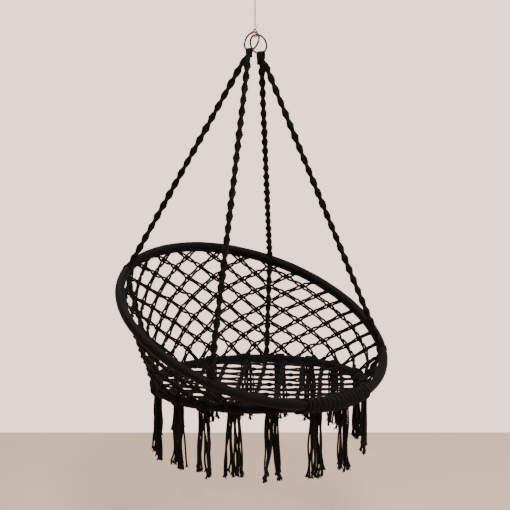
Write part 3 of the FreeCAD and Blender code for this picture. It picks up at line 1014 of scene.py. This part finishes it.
def eyed_strands(start, end, facing, cord, eyes, steps=15, sides=5, weights=None):
    """Pairs of cords from start to end (n, 3), lying in the surface that `facing` is square to.

    offset = gap(t) (side cos c + facing sin c), c = crossing x smoothstep((t - 0.3) / 0.4)
    gap(t) = 0.95 cord + eyes[0] sin^2(pi t / 0.36) below t = 0.36, and the same at the far end.
    """
    t = np.linspace(0, 1, steps)
    side = unit(np.cross(facing, end - start))[:, None]
    facing = facing[:, None]
    near = np.where(t < EYE_SHARE, np.sin(np.pi * t / EYE_SHARE) ** 2, 0)
    far = np.where(t > 1 - EYE_SHARE, np.sin(np.pi * (1 - t) / EYE_SHARE) ** 2, 0)
    gap = (cord * 0.95 + eyes[0][:, None] * near + eyes[1][:, None] * far)[..., None]
    s = np.clip((t - CROSS_FROM) / CROSS_SHARE, 0, 1)
    crossing = np.where(np.arange(len(start)) % 5 < 2, CROSSED, HARDLY_TURNED)[:, None]
    cross = (crossing * s * s * (3 - 2 * s))[:, :, None]
    offset = gap * (side * np.cos(cross) + facing * np.sin(cross))
    middle = start[:, None] + (end - start)[:, None] * t[None, :, None]
    paths = np.concatenate([middle + offset, middle - offset])
    if weights is not None:
        weights = weights[0][:, None] * (1 - t) + weights[1][:, None] * t
        weights = np.concatenate([weights, weights])
    return cord_tubes(paths, np.concatenate([facing, facing]), cord, sides, weight=weights)


# %% [markdown]
# A square knot seen from the front is a small bundle of cords that cross. At the size of the net
# two crossed turns show that, and they cover the place where the strands meet. The two nets have
# nearly two hundred knots, so each turn has only nine rings of five points.

# %% Knots
def bead_knots(centre, upright, facing, cord, weight=None, steps=9, sides=5):
    """Two crossed turns round each knot: ellipses tilted 35 degrees each way about `facing`.

    An ellipse is 1.6 cords by 1.4 cords from its middle to the middle of the cord that makes it.
    """
    level = unit(np.cross(upright, facing))
    a = np.linspace(0, 2 * np.pi, steps, endpoint=False)[None, :, None]
    loops = []
    for lean in (math.radians(35), math.radians(-35)):
        wide = level * math.cos(lean) + upright * math.sin(lean)
        ring = (np.cos(a) * 1.6 * cord * wide[:, None] + np.sin(a) * 1.4 * cord * facing[:, None])
        loops.append(centre[:, None] + ring)
    paths = np.concatenate(loops)
    if weight is not None:
        weight = np.concatenate([weight, weight])[:, None]
    return cord_tubes(paths, np.concatenate([upright, upright])[:, None], cord * 1.05, sides,
                      closed=True, weight=weight)


# %% [markdown]
# Now the strands and knots of the back net are made. A strand that would run along a hoop, from
# one point on it to the next, is left out. The net hangs from the big hoop and ends on the seat
# hoop, so the weight of each point is its v, and the net bends as the seat folds.

# %% The back net's pieces
def net_facing(angle):
    """Outward direction of the net at an angle, level enough for both hoops."""
    return unit(np.stack([np.sin(angle), -np.cos(angle), 0 * angle - 0.15], -1))


c1, r1, c2, r2 = lattice_edges(odd, len(rows))
both_top = (net_v[c1, r1] == 0) & (net_v[c2, r2] == 0)
both_low = (net_v[c1, r1] == 1) & (net_v[c2, r2] == 1)
keep = ~(both_top | both_low)
c1, r1, c2, r2 = c1[keep], r1[keep], c2[keep], r2[keep]
knots = net_point(net_angle, net_v)
depth = chance.normal(0, KNOT_DEPTH, net_v.shape)[..., None]
knots = knots + inside[..., None] * net_facing(net_angle) * depth
eyes = chance.uniform(*EYE_RANGE, (2, len(c1))) * MM
strands = eyed_strands(knots[c1, r1], knots[c2, r2],
                       net_facing((net_angle[c1, r1] + net_angle[c2, r2]) / 2), NET_CORD, eyes,
                       weights=(net_v[c1, r1], net_v[c2, r2]))
NET = ("frame", "seat")
make_piece("back_net_cords", [strands], net_cotton, NET, ["back_net"])
facing = net_facing(net_angle[inside])
upright = unit(around(big_hoop, net_angle)[0] - around(seat_hoop, net_angle)[0])[inside]
make_piece("back_net_knots", [bead_knots(knots[inside], upright, facing, NET_CORD,
                                         net_v[inside])],
           net_cotton, NET, ["back_net"])

# %% [markdown]
# The net hangs from a doubled head cord that is sewn along the underside of the sleeve. Its two
# cords twist about each other: each moves up and down and in and out once per lay, half a turn
# apart.

# %% Head cord
HEAD_CORD = 1.9 * MM
HEAD_LAY = 15 * MM
UNDERSIDE = math.radians(-105)
head_angle = np.linspace(NET_END, 2 * np.pi - NET_END, 900)
centre, outward, upward, _ = around(big_hoop, head_angle)
head_twist = 2 * np.pi * head_angle * big_hoop["radius"] / HEAD_LAY
head_paths = []
for turn in (0, np.pi):
    under = (UNDERSIDE + 0.13 * np.sin(head_twist + turn))[:, None]
    reach = (big_hoop["tube"] + HEAD_CORD * (0.9 + 0.7 * np.cos(head_twist + turn)))[:, None]
    head_paths.append(centre + reach * (np.cos(under) * outward + np.sin(under) * upward))
make_piece("net_head_cord", [cord_tubes(np.array(head_paths), outward, HEAD_CORD, 5)],
           net_cotton, "frame", ["back_net"])

# %% [markdown]
# ## Rope tails
#
# Below their hitches the ropes run on behind the net, as thinner spirals, down to the seat hoop.
# The front two have only a short way to go and count as part of the net. All four cross the fold
# between the back and the seat, so their weight grows from 0 at the big hoop to 1 at the seat.

# %% Tails
TAIL_OFFSET = 7.5 * MM
TAIL_BEADS = (30 * MM, 26 * MM)
FRONT = math.radians(FRONT_AT)
for name, angle, phase, node, cord, finish in (
        ("left", BACK_LEFT, 0.2, "rope_tail_left", rope_cotton, "rope_cotton"),
        ("right", BACK_RIGHT, 0.5, "rope_tail_right", rope_cotton, "rope_cotton"),
        ("front_left", -FRONT, 0.4, "back_net", net_cotton, "net_cotton"),
        ("front_right", FRONT, 0.9, "back_net", net_cotton, "net_cotton")):
    top, bottom = around(big_hoop, angle)[0], around(seat_hoop, angle)[0]
    along = unit(bottom - top)
    behind = np.array([math.sin(angle), -math.cos(angle), 0])
    behind = unit(behind - dot(behind, along) * along) * TAIL_OFFSET
    start = top + along * (big_hoop["tube"] + 3 * MM) + behind
    end = bottom - along * (seat_hoop["tube"] - 1 * MM) + behind * 0.6
    route = straight_route(start, end)
    braid = spiral_braid(route, SIDEWAYS, SMALL, *TAIL_BEADS, phase,
                         weight=np.linspace(0, 1, len(route)))
    make_piece("spiral_tail_" + name, braid, cord, NET, [node])

# %% [markdown]
# ## The seat net
#
# The seat is the same diamond net, tied flat across the lower hoop: knots on a grid of points
# 41 mm apart each way, where only every other point has a knot. It sinks a little towards the
# middle, by sag (1 - (r / R)^2). Knots that would fall within 26 mm of the hoop slide out onto it.

# %% Seat lattice
SEAT_STEP = 41 * MM
SEAT_SAG = 9 * MM
EDGE_ROOM = 26 * MM
SEAT_WANDER = 2.2 * MM
UP = np.array([0, 0, 1.0])
reach = int(seat_hoop["radius"] / SEAT_STEP) + 2
grid = np.arange(-reach, reach + 1)
grid_x, grid_y = np.meshgrid(grid, grid, indexing="ij")
seat_x = grid_x * SEAT_STEP + chance.normal(0, SEAT_WANDER, grid_x.shape)
seat_y = grid_y * SEAT_STEP + chance.normal(0, SEAT_WANDER, grid_y.shape)
ring_distance = np.hypot(seat_x, seat_y)
free = ring_distance < seat_hoop["radius"] - EDGE_ROOM
stretch = np.where(free, 1, seat_hoop["radius"] / np.maximum(ring_distance, SEAT_STEP))
seat_x, seat_y = seat_x * stretch, seat_y * stretch
sunk = SEAT_SAG * (1 - (seat_x ** 2 + seat_y ** 2) / seat_hoop["radius"] ** 2)
seat_points = seat_hoop["centre"] + np.stack([seat_x, seat_y, -sunk], -1)
tied = (grid_x + grid_y) % 2 == 0

# %% [markdown]
# The strands run along both diagonals of the grid, from knot to knot. A strand is kept if at
# least one of its ends lies free of the hoop.

# %% Seat net pieces
starts, ends = [], []
FIRST, SECOND = slice(None, -1), slice(1, None)
for here, there in (((FIRST, FIRST), (SECOND, SECOND)), ((FIRST, SECOND), (SECOND, FIRST))):
    wanted = tied[here] & (free[here] | free[there])
    starts.append(seat_points[here][wanted])
    ends.append(seat_points[there][wanted])
starts, ends = np.concatenate(starts), np.concatenate(ends)
facing = np.broadcast_to(UP, starts.shape)
eyes = chance.uniform(*EYE_RANGE, (2, len(starts))) * MM
make_piece("seat_net_cords", [eyed_strands(starts, ends, facing, NET_CORD, eyes)],
           net_cotton, "seat", ["seat_net"])
knot_points = seat_points[tied & free]
print("seat strands", len(starts), "knots", len(knot_points))
make_piece("seat_net_knots",
           [bead_knots(knot_points, np.broadcast_to([0, 1.0, 0], knot_points.shape),
                       np.broadcast_to(UP, knot_points.shape), NET_CORD)],
           net_cotton, "seat", ["seat_net"])

# %% [markdown]
# ## Lashing at the front
#
# At the front the two hoops lie side by side and one cord is wound round both, turn against
# turn. In a cut across the hoops each turn is a slot: half a circle round one hoop, half round
# the other, and straight runs between. The winding moves on along the hoops as it goes round,
# and every second turn rides up a little on its neighbours: 0.8 mm x (1 + cos(turned / 2)).
# It is also where the seat folds, so each point follows the hoop that it touches.

# %% Lashing
LASH_END = math.radians(16.5)
LASH_TURNS = 28
LASH_CORD = 3.2 * MM
LASH_STEPS = 20
SEAT_CLEAR, SLEEVE_CLEAR = 0.6 * MM, 0.3 * MM
progress = np.linspace(-1, 1, LASH_TURNS * LASH_STEPS)
turned = 2 * np.pi * LASH_TURNS * (progress + 1) / 2
big_angle = LASH_END * progress
seat_angle = np.arcsin(np.sin(big_angle) * big_hoop["radius"] / seat_hoop["radius"])
big, _, _, big_on = around(big_hoop, big_angle)
seat = around(seat_hoop, seat_angle)[0]
across = unit(seat - big)
side = unit(np.cross(big_on, across))
round_seat = np.sin(turned) > 0
middle = np.where(round_seat[:, None], seat, big)
covering = np.where(round_seat, seat_hoop["tube"] + SEAT_CLEAR, big_hoop["tube"] + SLEEVE_CLEAR)
bend = covering + LASH_CORD * BEDDED
ring = np.cos(turned)[:, None] * side + np.sin(turned)[:, None] * across
proud = (0.8 + 0.8 * np.cos(turned / 2) + 0.3 * np.sin(progress * 33)) * MM
lash_path = middle + ring * (bend + proud)[:, None]
make_piece("front_lashing_cord",
           [cord_tubes(lash_path[None], big_on, LASH_CORD, 7,
                       weight=round_seat.astype(float)[None])],
           wrap_cotton, NET, ["front_lashing"])

# %% [markdown]
# ## Tassels
#
# Sixteen tassels hang from the seat hoop. Each is a bunch of cut cords hitched over the hoop. The
# cords leave the hoop side by side, wander a little on the way down, and gather near the bottom
# into two or three locks whose ends have begun to fray. A cord is a smooth path through six
# points. Its place along the hoop runs from its place in the row to its lock; its end is
# untwisted into a few thin tapering yarns. Particle hair could make such a bunch, but then no cord
# would have a thickness or an end of its own. Each tassel draws from its own random numbers, so
# one can be changed without moving the rest.

# %% Tassels
TASSEL_ANGLES = [-10.5, 9, 42, 66, 90, 108, 127, 147, 169, 194, 219, 249, 273, 290, 306.5, 326]
TASSEL_CORDS = 13
TASSEL_CORD = 2.6 * MM
TOP_HALF, END_HALF = 15, 21                # half widths in mm
WANDER, DEPTH_WANDER, ROW_STAGGER = 4.2, 2.4, 4.2    # in mm
GATHER = 0.75
YARNS, FRAY = 7, 10 * MM
YARN_SPREAD, YARN_TAPER = 1.9, (1.8, 1.9, 1.0)       # in mm
HITCH_TURNS, HITCH_HALF = 6, 11
PLAIN_DROP, LASHED_DROP = 1, 6             # below the hoop's covering, in mm
LASHED = math.degrees(LASH_END) * 1.3


def tassel_parts(angle, low_z, random):
    """Cords of one tassel, their frayed ends, and the turns that tie them to the hoop.

    A tassel under the front lashing starts lower and has no turns of its own. The places below
    are in mm along the hoop; a cord's place is row x half width, and as the share of its length
    grows it moves over to its lock by 0.75 share^3.
    """
    hoop_point, outward, _, onward = around(seat_hoop, math.radians(angle))
    lashed = min(angle % 360, 360 - angle % 360) < LASHED
    top = hoop_point - UP * (seat_hoop["tube"] + (LASHED_DROP if lashed else PLAIN_DROP) * MM)
    row = np.linspace(-1, 1, TASSEL_CORDS)
    locks = random.choice([2, 3])
    centres = np.linspace(-1, 1, locks) * random.uniform(0.6, 0.9)
    lock = centres[np.clip(((row + 1) / 2 * locks).astype(int), 0, locks - 1)]
    length = top[2] - low_z + random.uniform(-18, 6, TASSEL_CORDS) * MM
    length = length + np.where(lock > 0, 1, -1) * random.uniform(-5, 5) * MM
    stagger = (np.arange(TASSEL_CORDS) % 3 - 1) * ROW_STAGGER
    control = []
    for share in (0, 0.1, 0.32, 0.56, 0.8, 1.0):
        gather = GATHER * share ** 3
        loose = min(share * 4, 1)
        straight = row * (TOP_HALF + (END_HALF - TOP_HALF) * share)
        place = straight * (1 - gather) + gather * (lock * END_HALF * 0.8 + row * 5)
        place = place + random.normal(0, WANDER, TASSEL_CORDS) * loose
        depth = stagger + random.normal(0, DEPTH_WANDER, TASSEL_CORDS) * loose
        control.append(top + onward * (place * MM)[:, None] + outward * (depth * MM)[:, None]
                       - UP * (length * share)[:, None])
    paths = soft_paths(np.stack(control, 1), 28)
    parts = [cord_tubes(paths, outward, TASSEL_CORD)]

    ends = np.repeat(paths[:, -1], YARNS, 0)
    spread = random.normal(0, 1, (len(ends), 3)) * [YARN_SPREAD, YARN_SPREAD, 0] * MM
    reach = random.uniform(0.5, 1, (len(ends), 1)) * FRAY * -UP
    frays = np.stack([ends + UP * 4 * MM + spread * 0.3, ends + spread * 0.9 + reach * 0.4,
                      ends + spread * 1.7 + reach], 1)
    parts.append(cord_tubes(frays, outward, np.array(YARN_TAPER) * MM, 4))

    if not lashed:
        offsets = np.linspace(-HITCH_HALF, HITCH_HALF, HITCH_TURNS) * MM
        slants = random.uniform(-1.2, 1.2, HITCH_TURNS) * MM
        parts.append(hoop_turns(seat_hoop, math.radians(angle), offsets, slants, TASSEL_CORD,
                                steps=24, reach=0.9 * MM))
    bar = np.array([[-14, 0, 3], [-7, 5, 4], [0, 6, 4.5], [7, 5, 4], [14, 0, 3]]) * MM
    bar = top + bar @ np.array([onward, outward, -UP])
    parts.append(cord_tubes(soft_paths(bar[None], 20), UP, TASSEL_CORD))
    return parts


# %% [markdown]
# The sixteen stand where the model has its plain blocks, at the angles above, in degrees from the
# front. A tassel is as long as its block.

# %% Sixteen tassels
for number, angle in enumerate(TASSEL_ANGLES, 1):
    node = f"tassel_{number:02d}"
    low_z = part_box(node)[0][2]
    make_piece(f"tassel_cords_{number:02d}",
               tassel_parts(angle, low_z, np.random.default_rng(100 + number)), tassel_cotton,
               "seat", [node])

# %% [markdown]
# ## Floor and light
#
# The chair hangs in a plain pale room. The floor is one large beige face 1.66 m below the hook. It
# reaches far behind the camera, so that it also throws its warm light up at the seat.

# %% Floor
def plain_paint(name, dark, light, patches):
    """Matt floor paint with a faint cloudiness."""
    material, shader, place, _ = new_material(name)
    cloud = cloudy(material, place, patches, 3.0)
    link(material, two_tone(material, cloud, dark, light), shader, "Base Color")
    shader.inputs["Roughness"].default_value = 0.9
    return material


FLOOR_DROP = 1.66
FLOOR_DEPTH = 1.42
FLOOR_FRONT = 7.0
FLOOR_SIDE = 6.0
FLOOR_PATCHES = 0.4
view_way = np.array([math.sin(LOOK_TURN), math.cos(LOOK_TURN), 0])
right_way = np.array([math.cos(LOOK_TURN), -math.sin(LOOK_TURN), 0])
floor_corners = [view_way * depth + right_way * wide - UP * FLOOR_DROP
                 for depth, wide in ((-FLOOR_FRONT, -FLOOR_SIDE), (-FLOOR_FRONT, FLOOR_SIDE),
                                     (FLOOR_DEPTH, FLOOR_SIDE), (FLOOR_DEPTH, -FLOOR_SIDE))]
floor_mesh = bpy.data.meshes.new("floor")
floor_mesh.from_pydata([tuple(corner) for corner in floor_corners], [], [(0, 1, 2, 3)])
floor_mesh.materials.append(plain_paint("floor_paint", "#f6d8bf", "#fbe4d0", FLOOR_PATCHES))
floor = bpy.data.objects.new("floor", floor_mesh)
bpy.context.scene.collection.objects.link(floor)

# %% [markdown]
# The wall is the world's own colour, an off-white. Black cotton looks best against a bright
# backdrop, but a bright world would also wash out its blacks. So the world shows the camera a
# stronger glow than it gives to the chair.

# %% World
BACKDROP_GLOW, ROOM_GLOW = 2.2, 0.5
world = bpy.data.worlds.new("studio")
world.use_nodes = True
sky = world.node_tree.nodes["Background"]
sky.inputs["Color"].default_value = colour("#ffe4d8")
seen = add_node(world, "ShaderNodeLightPath", {}).outputs["Is Camera Ray"]
glow = sums(world, "MULTIPLY_ADD", seen, BACKDROP_GLOW - ROOM_GLOW, ROOM_GLOW)
link(world, glow, sky, "Strength")
bpy.context.scene.world = world

# %% [markdown]
# Three lights shape the cords. A small key from the front left and above gives each cord a bright
# edge. A wide one from the right and a wide one from above keep the shaded sides readable.

# %% Lights
def soft_light(name, location, size, power, aim=(0, 0, -0.8)):
    """A square area light that faces the chair; size in metres, power in watts."""
    data = bpy.data.lights.new(name, "AREA")
    data.size = size
    data.energy = power
    lamp = bpy.data.objects.new(name, data)
    bpy.context.scene.collection.objects.link(lamp)
    lamp.location = location
    toward = Vector(aim) - Vector(location)
    lamp.rotation_euler = toward.to_track_quat("-Z", "Y").to_euler()


soft_light("key", (-1.5, -2.6, 2.0), 0.7, 100)
soft_light("fill", (2.4, -1.8, 0.4), 2.0, 30)
soft_light("top", (0.2, 0.8, 2.4), 2.0, 60)
